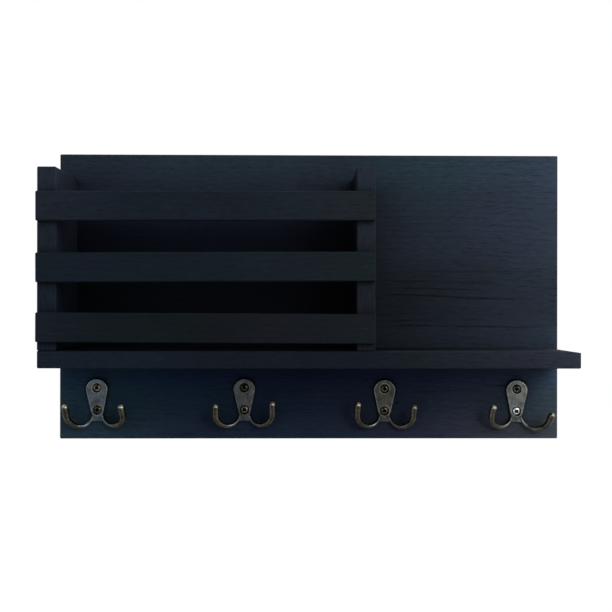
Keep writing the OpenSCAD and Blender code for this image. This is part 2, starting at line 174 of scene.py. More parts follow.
class Graph:
    """The nodes of one finish, or of the room's light."""

    def __init__(self, tree):
        self.tree = tree

    def node(self, kind, settings=None, sockets=None, output=0):
        """Adds a node: its settings first, then the value or the flow for each socket."""
        made = self.tree.nodes.new(kind)
        for name, value in (settings or {}).items():
            if name == "stops":
                fill_ramp(made.color_ramp, value)
            else:
                setattr(made, name, value)
        for name, value in (sockets or {}).items():
            if isinstance(value, Flow):
                self.tree.links.new(value.socket, made.inputs[name])
            else:
                made.inputs[name].default_value = value
        return Flow(self, made.outputs[output])

    def between(self, flow, low, high):
        """0 below low, 1 above high, and a soft step from one to the other."""
        ends = {"Value": flow, "From Min": low, "From Max": high}
        return self.node("ShaderNodeMapRange", {"interpolation_type": "SMOOTHSTEP"}, ends)

    def blend(self, share, first, second):
        """Colour that goes from first to second as share goes from 0 to 1."""
        kind = {"data_type": "RGBA", "clamp_factor": True}
        return self.node("ShaderNodeMix", kind, {0: share, 6: first, 7: second}, 2)

    def cast(self, colour, factors, share=1.0):
        """Colour with each of its channels multiplied, as far as share says."""
        kind = {"data_type": "RGBA", "blend_type": "MULTIPLY"}
        return self.node("ShaderNodeMix", kind, {0: share, 6: colour, 7: factors}, 2)

    def tint(self, colour, share):
        """Colour made darker or paler by a plain share of itself."""
        grey = self.node("ShaderNodeCombineColor", None, {0: share, 1: share, 2: share})
        return self.cast(colour, grey)

    def openness(self, reach):
        """1 on an open face, falling towards 0 in corners and hollows of that reach."""
        return self.node("ShaderNodeAmbientOcclusion", {"samples": 6}, {"Distance": reach}, "AO")

    def noise(self, spot, scale, detail=2, rough=0.5):
        values = {"Vector": spot, "Scale": scale, "Detail": detail, "Roughness": rough}
        return self.node("ShaderNodeTexNoise", None, values, "Fac")

    def spot(self, x, y, z):
        return self.node("ShaderNodeCombineXYZ", None, {0: x, 1: y, 2: z})

    def split(self, vector):
        return [self.node("ShaderNodeSeparateXYZ", None, {0: vector}, i) for i in range(3)]

    def object_spot(self):
        """Place on the object in metres, in the frame of the whole organizer."""
        return self.node("ShaderNodeTexCoord", output="Object")

    def normal(self):
        return self.node("ShaderNodeNewGeometry", output="True Normal")

    def bump(self, height, depth, strength):
        values = {"Height": height, "Distance": depth, "Strength": strength}
        return self.node("ShaderNodeBump", None, values)


class Finish(Graph):
    """A material around one Principled shader."""

    def __init__(self, name, constants):
        self.material = bpy.data.materials.new(name)
        self.material.use_nodes = True
        super().__init__(self.material.node_tree)
        self.shader = self.tree.nodes["Principled BSDF"]
        for socket, value in constants.items():
            self.shader.inputs[socket].default_value = value

    def feed(self, flows):
        for socket, flow in flows.items():
            self.tree.links.new(flow.socket, self.shader.inputs[socket])
        return self.material


# Wood

RUBBED_AND_LIT_WOOD = tone(58, 64, 72)
END_GRAIN = tone(24, 29, 35)
VIOLET_STAIN = (1.04, 0.95, 1.0, 1)
TEAL_STAIN = (0.95, 1.05, 1.0, 1)
POCKET_SHADE_TINT = (0.8, 1.0, 1.5, 1)
POCKET_SKIN = 0.8 * MM
POCKET_FADE = (-12 * MM, 28 * MM)
DARK_LINE_EDGE = (0.2 * MM, 1.3 * MM)
DARK_LINE_WANDER = 4 * MM
DARK_LINE_START, DARK_LINE_END = 20 * MM, 30 * MM
DARK_LINE_SHARE = 0.75
NICK_SHARE, NICK_CORE = 0.8, 0.1
ARRIS_RUBBED = (0.5 * MM, 1.2 * MM)
ARRIS_WANDER = 1.6 * MM
TOP_ARRIS = (0.6 * MM, 2.2 * MM)
CORNER_SHADE_REACH = 160 * MM
CORNER_SHADE_POWER = 1.1
WOOD_RELIEF = 0.12 * MM

# Waves of the wood's fields in a metre, along the grain and across it, and their shares
STREAKS, STREAK_SHARE = (19, 270), 0.25
FIBRES, FIBRE_SHARE = (150, 880), 0.95
CLOUDS, CLOUD_SHARE = (13, 17), 0.45
PORES, PORE_SHARE = (90, 1600), 0.25
RING_WAVES, LATE_SHARE = (5, 8), 0.08
RING_PITCH = 5.2 * MM
RING_WANDER = 20 * MM
RING_TILT = 1.7
RING_RUN_OUT = 0.03
HUES = (9, 12)
END_SPECKLES = (300, 1300)
RUBBED_PATCHES = (60, 90)


def pocket_shade(finish, place, panel):
    """1 on the faces inside the mail pocket, which the finish paints darker and bluer as painted
    shade:
    on a side panel over its full height, and otherwise up to the top slat."""
    left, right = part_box("side_panel_left")[1].x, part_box("side_panel_right")[0].x
    front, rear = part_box("shelf")[0].y, BOARD_FRONT
    floor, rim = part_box("shelf")[1].z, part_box("slat_top")[0].z
    inside = finish.between(place[X], left - POCKET_SKIN, left)
    inside = inside * (1 - finish.between(place[X], right, right + POCKET_SKIN))
    inside = inside * finish.between(place[Y], front - POCKET_SKIN, front)
    inside = inside * (1 - finish.between(place[Y], rear, rear + POCKET_SKIN))
    inside = inside * finish.between(place[Z], floor - POCKET_SKIN, floor)
    if panel:
        return inside * finish.between(abs(finish.split(finish.normal())[X]), 0.5, 0.9)
    fade_start, fade_end = (rim + off for off in POCKET_FADE)
    return inside * (1 - finish.between(place[Z], fade_start, fade_end))


def grain_noise(finish, spot, seed, axis, waves, detail, rough=0.5):
    """Noise drawn out along the grain. spot is measured along the grain, across it and through
    the board, and the board's seed moves the noise along one of these axes."""
    along, across = waves
    stretched = [spot[0] * along, spot[1] * across, spot[2] * across]
    stretched[axis] = stretched[axis] + seed
    return finish.noise(finish.spot(*stretched), 1, detail, rough)


def wood_fields(finish, spot, seed):
    """Fields of the wood: long streaks, short fibres, open pores, cloudy take-up of the stain,
    and late wood of the growth rings."""
    streak = grain_noise(finish, spot, seed, 0, STREAKS, 3, 0.6)
    fibre = grain_noise(finish, spot, seed, 0, FIBRES, 3, 0.6)
    pore = finish.between(grain_noise(finish, spot, seed, 1, PORES, 1), 0.6, 0.7)
    cloud = grain_noise(finish, spot, seed, 1, CLOUDS, 3)

    # The rings are cut nearly along their length, so that they show as faint long lines
    along, across, through = spot
    wander = grain_noise(finish, spot, seed, 0, RING_WAVES, 2) * RING_WANDER
    run_out = along * (RING_RUN_OUT * math.cos(seed * 3.1))
    depth = across + through * RING_TILT + wander + run_out
    ring = (depth / RING_PITCH + seed).math("FRACT")
    late = finish.between(ring, 0.3, 0.9) * (1 - finish.between(ring, 0.9, 1.0))
    return streak, fibre, pore, cloud, late


def dark_line(finish, place, cloud, level, rise, start, end):
    """1 along a dark streak of the grain, which begins at start and has faded out at end."""
    x, z = place[X], place[Z]
    off = abs(z - level - (x - start) * rise + (cloud - 0.5) * DARK_LINE_WANDER)
    line = 1 - finish.between(off, *DARK_LINE_EDGE)
    line = line * finish.between(x, start, start + DARK_LINE_START)
    return line * (1 - finish.between(x, end - DARK_LINE_END, end))


def nick(finish, place, x, z, radius):
    """1 in the middle of a small bruise in the board's face, and 0 beyond its radius."""
    off_x, off_z = place[X] - x, place[Z] - z
    off = off_x * off_x + off_z * off_z
    return 1 - finish.between(off, NICK_CORE * radius ** 2, radius ** 2)


def grain_shade(finish, place, fields, dark_lines, nicks):
    """How pale or dark the grain makes the stain, with its dark streaks and small bruises."""
    streak, fibre, pore, cloud, late = fields
    shade = (
        1 + (streak - 0.5) * STREAK_SHARE + (fibre - 0.5) * FIBRE_SHARE
        + (cloud - 0.5) * CLOUD_SHARE - late * LATE_SHARE - pore * PORE_SHARE
    )
    for *run, strength in dark_lines:
        broken = finish.between(fibre + streak, 0.75, 1.15)
        line = dark_line(finish, place, cloud, *run) * broken
        shade = shade - line * (DARK_LINE_SHARE * strength)
    for x, z, radius in nicks:
        shade = shade * (1 - NICK_SHARE * nick(finish, place, x, z, radius))
    return shade


def banded_tones(finish, along_share, across_share, bands):
    """Stain over a board's face, with painted light and shade in its tones, band upon band. A band
    says where it begins and where it is full, as shares across the face, and its tones from the
    board's low end to its high end."""
    colour = None
    for begins, full, stops in bands:
        tones = finish.node("ShaderNodeValToRGB", {"stops": stops}, {0: along_share})
        if colour:
            tones = finish.blend(finish.between(across_share, begins, full), colour, tones)
        colour = tones
    return colour


def banded_shades(finish, across_share, shades):
    """Factors on a board's tones, band upon band. A band says where it begins and where it is
    full, as shares across the face."""
    factors = (1, 1, 1, 1)
    for begins, full, band in shades:
        factors = finish.blend(finish.between(across_share, begins, full), factors, band)
    return factors


def stain_hues(finish, spot, seed):
    """Factors that turn the stain towards violet in places and towards teal in others."""
    hue = grain_noise(finish, spot, seed, 2, HUES, 2)
    return finish.blend(finish.between(hue, 0.35, 0.65), VIOLET_STAIN, TEAL_STAIN)


def with_end_grain(finish, colour, spot, seed, end_facing):
    """Colour with the board's two ends, which drink more stain and show pores, not streaks."""
    speckle = grain_noise(finish, spot, seed, 1, END_SPECKLES, 2)
    end = finish.tint(END_GRAIN, 0.6 + speckle * 0.8)
    return finish.blend(finish.between(abs(end_facing), 0.6, 0.8), colour, end)


def rubbed_arrises(finish, local, half, spot, seed):
    """Two shares: how far an arris is rubbed, in patches, and whether it is one at the top, where
    the rubbed arris is painted pale as a painted highlight.
    The two smallest distances to a board's faces add up to the distance from its edge, also
    on the sanded arris itself."""
    gaps = [half[i] - abs(local[i]) for i in range(3)]
    widest = gaps[X].math("MAXIMUM", gaps[Y]).math("MAXIMUM", gaps[Z])
    edge = gaps[X] + gaps[Y] + gaps[Z] - widest
    patchy = grain_noise(finish, spot, seed, 1, RUBBED_PATCHES, 3, 0.7)
    rubbed = 1 - finish.between(edge + (patchy - 0.5) * ARRIS_WANDER, *ARRIS_RUBBED)
    at_top = 1 - finish.between(gaps[Z] + (local[Z] < 0) * half[Z], *TOP_ARRIS)
    return rubbed, at_top


def stained_board(node, along, across, seed, bands, slope=0.0, pocket=0.6, panel=False,
                  falls=0.0, arris=0.0, shades=(), dark_lines=(), nicks=(), rear=None):
    """Stained wood of one board, its grain running along one axis and its wide face across
    another. seed tells its grain from the other boards', and bands are its tones, as
    banded_tones takes them. The rest is as the board needs:
    slope: rise of a slat that hangs out of level
    pocket: how much darker the mail pocket's inside is painted, as painted shade, or paler where
    negative
    panel: whether the board is one of the pocket's side panels
    falls: how much darker the low edge is painted than the high one, as painted shade
    arris: how far the top arrises are painted pale, a painted highlight on the rubbed arrises
    shades: factors on the tones in bands across the face, as banded_shades takes them, painted light
    and shade
    dark_lines: streaks in the grain, each as level, rise, start, end and strength
    nicks: small dark bruises in the face, each as x, z and radius
    rear: tone of the face on the wall"""
    finish = Finish("stained_" + node, {"Specular IOR Level": 0.05, "Metallic": 0})
    low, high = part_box(node)
    middle, half = (low + high) / 2, (high - low) / 2
    half.z -= abs(slope) * half.x
    place = finish.split(finish.object_spot())
    facing = finish.split(finish.normal())
    local = [place[i] - middle[i] for i in range(3)]
    local[Z] = local[Z] - local[X] * slope
    spot = [local[i] for i in (along, across, 3 - along - across)]
    fields = wood_fields(finish, spot, seed)

    along_share, across_share = [local[i] / (2 * half[i]) + 0.5 for i in (along, across)]
    colour = banded_tones(finish, along_share, across_share, bands)
    if shades:
        colour = finish.cast(colour, banded_shades(finish, across_share, shades))
    if rear:
        colour = finish.blend(finish.between(facing[Y], 0.4, 0.7), colour, rear)
    colour = finish.cast(colour, stain_hues(finish, spot, seed))
    colour = finish.tint(colour, grain_shade(finish, place, fields, dark_lines, nicks))
    colour = with_end_grain(finish, colour, spot, seed, facing[along])
    rubbed, at_top = rubbed_arrises(finish, local, half, spot, seed)
    # Painted highlight: the rubbed top arrises painted pale
    colour = finish.blend(rubbed * at_top * arris, colour, RUBBED_AND_LIT_WOOD)

    # Painted shade: corners and hollows are painted darker by ambient occlusion, the mail pocket
    # darker and bluer still, and a board's low edge darker than its high one by falls
    painted_corner_shade = finish.openness(CORNER_SHADE_REACH).math("POWER", CORNER_SHADE_POWER)
    inside = pocket_shade(finish, place, panel)
    if pocket > 0:
        # Painted shade: a bluer tint inside the mail pocket
        colour = finish.cast(colour, POCKET_SHADE_TINT, inside)
    painted_corner_shade = painted_corner_shade * (1 - pocket * inside)
    colour = finish.tint(colour, painted_corner_shade * (1 + local[Z] / half[Z] * (0.5 * falls)))

    streak, fibre, pore, _, late = fields
    rough = 0.62 + (streak - 0.5) * 0.2 + pore * 0.15 - rubbed * 0.12
    height = fibre * 0.5 + streak * 0.6 - pore * 0.7 - late * 0.25
    normal = finish.bump(height, WOOD_RELIEF, 0.7)
    return finish.feed({"Base Color": colour, "Roughness": rough, "Normal": normal})


# Metals

CAST_DARK = tone(22, 22, 22)
# Rubbed tones of the castings, which also show their painted highlights and painted reflections
PLATE_RUBBED_AND_LIT = tone(130, 135, 136)
PRONG_PATINA = tone(46, 44, 39)
PRONG_RUBBED_AND_LIT = tone(86, 83, 73)
# Pale tone of a tip's painted highlight on its rubbed end
PRONG_TIP = tone(226, 217, 188)
WARM_METAL = (1.08, 1.0, 0.9, 1)
COOL_METAL = (0.93, 1.0, 1.1, 1)
HOLLOW_REACH = 4 * MM

# Waves of the metals' fields in a metre
CASTING_PATCHES, CASTING_HUES, CASTING_MOTTLE, CASTING_GRIT = 170, 240, 420, 2300
SCREW_MOTTLE, SCREW_GRIT = 900, 3000
ZINC_SMUDGES, ZINC_SPANGLE = 160, 450
ZINC_SCRATCHES_ACROSS, ZINC_SCRATCHES_UP = 3000, 90
BRAD_SPECKS = 900


def antique_casting(name, face, seed):
    """Plated casting, darkened and then rubbed bright where a hand or a coat reaches it, with
    painted highlights and painted reflections laid in the same pale tones. face is the tone of its
    plate.
    The casting's points say how far they are rubbed and painted lit, whether they are on the plate
    or on a prong, how pale a tip's painted highlight is, and how much dirt and painted shade stays."""
    finish = Finish(name, {})
    worn, prong, tip, grime = [
        finish.node("ShaderNodeAttribute", {"attribute_name": mark}, output="Fac")
        for mark in ("worn", "prong", "tip", "grime")
    ]
    spot = finish.node("ShaderNodeVectorMath", {"operation": "ADD"},
                       {0: finish.object_spot(), 1: (seed, seed, 0)})
    patch = finish.noise(spot, CASTING_PATCHES, 2)
    mottle = finish.noise(spot, CASTING_MOTTLE, 3, 0.6)
    grit = finish.noise(spot, CASTING_GRIT, 2, 0.6)
    film = finish.blend(prong, face, PRONG_PATINA)
    rubbed_and_lit = finish.blend(tip, finish.blend(prong, PLATE_RUBBED_AND_LIT, PRONG_RUBBED_AND_LIT), PRONG_TIP)
    wear_and_light = finish.between(worn + (mottle - 0.5) * 0.5, 0.1, 1.0)
    colour = finish.blend(wear_and_light, film, rubbed_and_lit)
    warmth = finish.between(finish.noise(spot, CASTING_HUES, 2), 0.35, 0.65)
    colour = finish.cast(colour, finish.blend(warmth, WARM_METAL, COOL_METAL))
    shade = 1 + (patch - 0.5) * 1.7 + (mottle - 0.5) * 1.4 + (grit - 0.5) * 0.6
    colour = finish.tint(colour, shade)
    # Patina in the hollows, with painted shade where the casting lies close to the board, and dirt
    # and painted shade on faces turned from the front
    hollow = 1 - finish.openness(HOLLOW_REACH)
    colour = finish.blend(hollow * 0.9 + grime * 0.75, colour, CAST_DARK)
    roughness = 0.38 + (mottle - 0.5) * 0.2 - wear_and_light * 0.08 - prong * 0.06 - tip * 0.06
    normal = finish.bump(mottle * 0.7 + grit * 0.3, 0.06 * MM, 0.7)
    return finish.feed({
        "Base Color": colour, "Roughness": roughness, "Metallic": 1 - tip * 0.8, "Normal": normal,
    })


def antique_screw_heads():
    """Plated screw heads, each painted as bright as it shines, a painted reflection, and painted
    black in their recesses, a painted shade. The faces of the heads say how bright they shine
    and how much dirt and painted shade they keep."""
    stops = ((0, (30, 29, 27)), (0.5, (90, 84, 68)), (1, (226, 225, 222)))
    finish = Finish("antique_screws", {"Metallic": 1.0})
    shine, grime = [
        finish.node("ShaderNodeAttribute", {"attribute_name": mark}, output="Fac")
        for mark in ("shine", "grime")
    ]
    mottle = finish.noise(finish.object_spot(), SCREW_MOTTLE, 3, 0.6)
    grit = finish.noise(finish.object_spot(), SCREW_GRIT, 2, 0.6)
    colour = finish.node("ShaderNodeValToRGB", {"stops": stops}, {0: shine + (mottle - 0.5) * 0.35})
    colour = finish.tint(colour, 1 + (grit - 0.5) * 0.5)
    colour = finish.blend(grime, colour, tone(6, 6, 6))
    normal = finish.bump(mottle * 0.6 + grit * 0.4, 0.04 * MM, 0.6)
    roughness = 0.34 + (mottle - 0.5) * 0.3
    return finish.feed({"Base Color": colour, "Roughness": roughness, "Normal": normal})


def zinc_plate(name, colour, dark, seed):
    """Zinc plating with a faint spangle and fine scratches."""
    finish = Finish(name, {"Metallic": 1.0})
    x, y, z = finish.split(finish.object_spot())
    shifted = finish.spot(x + seed, y, z)
    cells = {"Vector": shifted, "Scale": ZINC_SPANGLE}
    spangle = finish.node("ShaderNodeTexVoronoi", None, cells)
    across, up = ZINC_SCRATCHES_ACROSS, ZINC_SCRATCHES_UP
    brushed = finish.noise(finish.spot(x * across, y * across, z * up), 1, 2)
    smudge = finish.noise(shifted, ZINC_SMUDGES, 3, 0.6)
    shade = finish.between(spangle * 0.3 + smudge * 0.7 + (brushed - 0.5) * 0.3, 0.2, 0.8)
    normal = finish.bump(brushed * 0.6 + spangle * 0.4, 0.03 * MM, 0.5)
    return finish.feed({
        "Base Color": finish.blend(shade, dark, colour),
        "Roughness": 0.34 + (smudge - 0.5) * 0.3,
        "Normal": normal,
    })


def stained_brad_heads():
    """Brad heads that were stained over with the slats, the steel showing through a little."""
    finish = Finish("stained_brad_heads", {"Specular IOR Level": 0.15, "Metallic": 0})
    speck = finish.noise(finish.object_spot(), BRAD_SPECKS, 3, 0.6)
    colour = finish.blend(finish.between(speck, 0.4, 0.75), tone(12, 15, 19), tone(27, 31, 36))
    normal = finish.bump(speck, 0.05 * MM, 0.5)
    return finish.feed({"Base Color": colour, "Roughness": 0.5 + speck * 0.3, "Normal": normal})


# Meshes

def mesh_object(name, points, faces):
    mesh = bpy.data.meshes.new(name)
    mesh.from_pydata([tuple(p) for p in points], [], faces)
    mesh.validate()
    made = bpy.data.objects.new(name, mesh)
    bpy.context.scene.collection.objects.link(made)
    return made


def add_modifier(piece, kind, settings):
    modifier = piece.modifiers.new(kind.lower(), kind)
    for name, value in settings.items():
        setattr(modifier, name, value)
    return modifier


def apply_modifiers(piece):
    """Keeps the shape that the modifiers give, and drops the modifiers."""
    graph = bpy.context.evaluated_depsgraph_get()
    graph.update()
    made = bpy.data.meshes.new_from_object(piece.evaluated_get(graph))
    old = piece.data
    piece.modifiers.clear()
    piece.data = made
    bpy.data.meshes.remove(old)


def join(pieces):
    """One object with the meshes of all the pieces, which are deleted."""
    shape = bmesh.new()
    for piece in pieces:
        shape.from_mesh(piece.data)
    joined = mesh_object(pieces[0].name + "_joined", [], [])
    shape.to_mesh(joined.data)
    shape.free()
    for piece in pieces:
        discard(piece)
    return joined


def discard(piece):
    mesh = piece.data
    bpy.data.objects.remove(piece)
    bpy.data.meshes.remove(mesh)


def loft(name, loops):
    """Closed skin over loops that all have the same number of points, capped at both ends."""
    count = len(loops[0])
    points = [p for loop in loops for p in loop]
    faces = []
    for i in range(len(loops) - 1):
        for k in range(count):
            a, b = i * count + k, i * count + (k + 1) % count
            faces.append((a, b, b + count, a + count))
    last = len(points) - count
    faces.append(tuple(range(count - 1, -1, -1)))
    faces.append(tuple(range(last, last + count)))
    made = mesh_object(name, points, faces)
    tidy_normals(made)
    return made


def tidy_normals(piece):
    shape = bmesh.new()
    shape.from_mesh(piece.data)
    bmesh.ops.recalc_face_normals(shape, faces=shape.faces)
    shape.to_mesh(piece.data)
    shape.free()


def smooth_shading(piece, sharp_deg):
    """Smooth faces, with a crease wherever two of them meet at a steeper angle."""
    shape = bmesh.new()
    shape.from_mesh(piece.data)
    for face in shape.faces:
        face.smooth = True
    sharp = math.radians(sharp_deg)
    for edge in shape.edges:
        edge.smooth = len(edge.link_faces) == 2 and edge.calc_face_angle(0) < sharp
    shape.to_mesh(piece.data)
    shape.free()


def turned(name, profile, sides=64):
    """Body turned about the Y axis. profile holds pairs of radius and distance out of the
    board."""
    loops = []
    for radius, out in profile:
        loops.append([
            Vector((radius * math.cos(a), -out, radius * math.sin(a)))
            for a in (2 * math.pi * k / sides for k in range(sides))
        ])
    return loft(name, loops)


def cut(piece, cutters):
    for cutter in cutters:
        settings = {"operation": "DIFFERENCE", "object": cutter, "solver": "EXACT"}
        add_modifier(piece, "BOOLEAN", settings)
    apply_modifiers(piece)
    for cutter in cutters:
        discard(cutter)


# Cast hooks

def hook_place(number):
    """From a hook's own frame to the organizer's: its screws say where it sits."""
    low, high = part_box(f"hook_{number}_screws")
    lean = Matrix.Rotation(math.radians(HOOK_LEAN_DEG[number - 1]), 4, "Y")
    middle = Vector(((low.x + high.x) / 2, BOARD_FRONT, (low.z + high.z) / 2))
    return Matrix.Translation(middle) @ lean @ Matrix.Translation((0, 0, -HOOK_SCREW_GAP / 2))


def plate_outline(inset, out):
    """Loop around the plate: a round top and a narrower round waist with straight sides."""
    top_z = HOOK_SCREW_GAP - BOSS_DROP
    tilt = math.asin((PLATE_TOP_R - PLATE_WAIST_R) / (top_z + WAIST_DROP))
    loop = []
    for k in range(PLATE_STEPS + 1):
        a = -tilt + (math.pi + 2 * tilt) * k / PLATE_STEPS
        radius = PLATE_TOP_R - inset
        loop.append(Vector((radius * math.cos(a), -out, top_z + radius * math.sin(a))))
    for k in range(PLATE_STEPS + 1):
        a = math.pi + tilt + (math.pi - 2 * tilt) * k / PLATE_STEPS
        radius = PLATE_WAIST_R - inset
        loop.append(Vector((radius * math.cos(a), -out, -WAIST_DROP + radius * math.sin(a))))
    return loop


def foot_outline(inset, out):
    """Loop around the foot: straight sides, and a bottom edge arched between the prongs."""
    half_w, low = FOOT_HALF_W - inset, -PLATE_FOOT + inset
    radius = (FOOT_HALF_W ** 2 + FOOT_ARCH ** 2) / (2 * FOOT_ARCH)
    reach = math.asin(half_w / radius)
    loop = [Vector((half_w, -out, FOOT_TOP)), Vector((-half_w, -out, FOOT_TOP))]
    for k in range(FOOT_STEPS + 1):
        a = reach * (2 * k / FOOT_STEPS - 1)
        z = low + FOOT_ARCH - radius * (1 - math.cos(a))
        loop.append(Vector((radius * math.sin(a), -out, z)))
    return loop


def eased_slab(name, outline, thickness):
    """Flat slab of that outline, its front edge rounded over."""
    loops = [outline(0, 0), outline(0, thickness - PLATE_EDGE)]
    for k in range(1, EASE_STEPS + 1):
        a = math.radians(90 * k / EASE_STEPS)
        out = thickness - PLATE_EDGE * (1 - math.sin(a))
        loops.append(outline(PLATE_EDGE * (1 - math.cos(a)), out))
    return loft(name, loops)


def prong_point(t, reach, rise):
    """Middle line of a right-hand prong at share t of its length."""
    middle_x = PRONG_REACH - BEND_R
    middle_z = BEND_R - PRONG_DIP
    bend_angle = math.radians(360 - PRONG_START_DEG)
    bend_len = BEND_R * bend_angle
    straight_len = PRONG_RISE - middle_z
    s = t * (bend_len + straight_len)
    angle = math.radians(PRONG_START_DEG) + bend_angle * min(1, s / bend_len)
    out = PRONG_ROOT_OUT + (PRONG_OUT - PRONG_ROOT_OUT) * t ** PRONG_LATENESS
    return Vector((
        middle_x + BEND_R * math.cos(angle) + reach * t * t,
        -out,
        middle_z + BEND_R * math.sin(angle) + max(0, s - bend_len) + rise * t * t,
    ))


def prong(name, side, reach, rise):
    """Round prong that thickens from its root to its ball-shaped tip. side is 1 for the right
    one and -1 for the left one."""
    def loop(middle, direction, radius):
        across = direction.cross(Vector((0, 1, 0))).normalized()
        through = across.cross(direction)
        turns = (2 * math.pi * k / PRONG_SIDES for k in range(PRONG_SIDES))
        ring = (middle + radius * (math.cos(a) * across + math.sin(a) * through) for a in turns)
        return [Vector((side * p.x, p.y, p.z)) for p in ring]

    step = 0.5 / PRONG_RINGS
    loops = []
    for i in range(PRONG_RINGS + 1):
        t = i / PRONG_RINGS
        ahead = prong_point(min(1, t + step), reach, rise)
        behind = prong_point(max(0, t - step), reach, rise)
        radius = PRONG_ROOT_R + (PRONG_TIP_R - PRONG_ROOT_R) * t * t * (3 - 2 * t)
        loops.append(loop(prong_point(t, reach, rise), (ahead - behind).normalized(), radius))
    tip = prong_point(1, reach, rise)
    direction = (tip - prong_point(1 - step, reach, rise)).normalized()
    for i in range(1, TIP_RINGS + 1):
        a = math.radians(90 * i / (TIP_RINGS + 0.4))
        middle = tip + direction * PRONG_TIP_R * math.sin(a)
        loops.append(loop(middle, direction, PRONG_TIP_R * math.cos(a)))
    return loft(name, loops)


def countersink(z):
    """Cutter for one screw's countersink, with a softened, rubbed lip where it meets the plate's
    face.
    """
    over, lip, land = 1 * MM, 0.4 * MM, 0.1 * MM
    seat = PLATE_T - lip - land
    made = turned("countersink", (
        (SINK_R + lip + over, PLATE_T + over), (SINK_R + lip, PLATE_T), (SINK_R, PLATE_T - lip),
        (SINK_R, seat), (SHANK_R, seat - (SINK_R - SHANK_R)), (SHANK_R, -over),
    ))
    made.data.transform(Matrix.Translation((0, 0, z)))
    return made


# Rubbing and painted light of the castings: rubbed places, with painted highlights on the rims,
# the left bends and the tips, and painted reflections in stripes along the prongs. The tables go
# from the first hook to the last one, and pairs from the left prong to the right one. Places along
# a prong are shares of its length
ROUTE_STEPS = 60
PRONG_FROM = (0.3, 0.48)
TIP_HIGHLIGHT_AND_RUB_FROM_END = Vector((0.9 * MM, -0.7 * MM, -0.3 * MM))
TIP_HIGHLIGHT_AND_RUB_R = (1.4 * MM, 3.3 * MM)
TIP_HIGHLIGHT_AND_RUB = ((0.8, 0.78), (0.85, 0.68), (0.75, 0.68), (1.0, 0.42))
PRONG_STRIPE_REFLECTION = ((0.95, 1.15), (1.15, 1.15), (1.05, 1.1), (1.8, 1.15))
FLANK_TURN, FLANK_REACH = 0.55, 0.45
STRIPE_LEAST, STRIPE_MORE = 0.3, 0.45
GRIME_AND_SHADE_TURN = (-0.1, 0.5)
RIM_HIGHLIGHT_AND_RUBBING = (1.1, 0.5, 1, 2.2)
RIM_LIT_AND_RUBBED = (-1.3 * MM, -0.2 * MM)
RIM_LIT_AND_RUBBED_FROM_Z = (-3 * MM, 0)
SINK_RUBBED_AT, SINK_RUBBED_REACH = 0.3 * MM, 0.7 * MM
SINK_GRIME_AND_SHADE = (0.3 * MM, 0.8 * MM)
BEND_HIGHLIGHT_AT, BEND_HIGHLIGHT_REACH = 0.33, 0.13
BEND_HIGHLIGHT = (0.7, 0.55, 0.9, 1.1)


def ramp(value, low, high):
    """0 below low, 1 above high, and a straight run from one to the other."""
    return min(1, max(0, (value - low) / (high - low)))


def from_screw(point):
    """Distance of a casting's point from the axis of the nearer screw."""
    return min(math.hypot(point.x, point.z), math.hypot(point.x, point.z - HOOK_SCREW_GAP))


def sink_depth(point):
    """1 inside a countersink, 0 on the plate's face and outside it."""
    if from_screw(point) < SINK_R + 0.1 * MM:
        return ramp(PLATE_T + point.y, *SINK_GRIME_AND_SHADE)
    return 0


def plate_wear_and_highlight(point):
    """1 on the rubbed rims of the plate and of its countersinks, 0 on its flat face. The plate's rim
    also carries a painted highlight.
    """
    top_z = HOOK_SCREW_GAP - BOSS_DROP
    share = ramp(point.z, -WAIST_DROP, top_z)
    middle_z = -WAIST_DROP + (top_z + WAIST_DROP) * share
    radius = PLATE_WAIST_R + (PLATE_TOP_R - PLATE_WAIST_R) * share
    rim = math.hypot(point.x, point.z - middle_z) - radius
    rim_wear_and_highlight = ramp(rim, *RIM_LIT_AND_RUBBED) * ramp(point.z, *RIM_LIT_AND_RUBBED_FROM_Z)
    off_lip = abs(from_screw(point) - SINK_R - SINK_RUBBED_AT)
    return max(rim_wear_and_highlight, 1 - ramp(off_lip, 0, SINK_RUBBED_REACH))


def prong_route(side, reach, rise):
    """Finder of the nearest of the points spaced along a prong's middle line, and the spot
    on its tip where the painted highlight on the rubbed tip is brightest."""
    route = KDTree(ROUTE_STEPS + 1)
    for i in range(ROUTE_STEPS + 1):
        point = prong_point(i / ROUTE_STEPS, reach, rise)
        route.insert((side * point.x, point.y, point.z), i)
    route.balance()
    tip, before = prong_point(1, reach, rise), prong_point(0.98, reach, rise)
    end = tip + (tip - before).normalized() * PRONG_TIP_R
    return route, Vector((side * end.x, end.y, end.z)) + TIP_HIGHLIGHT_AND_RUB_FROM_END


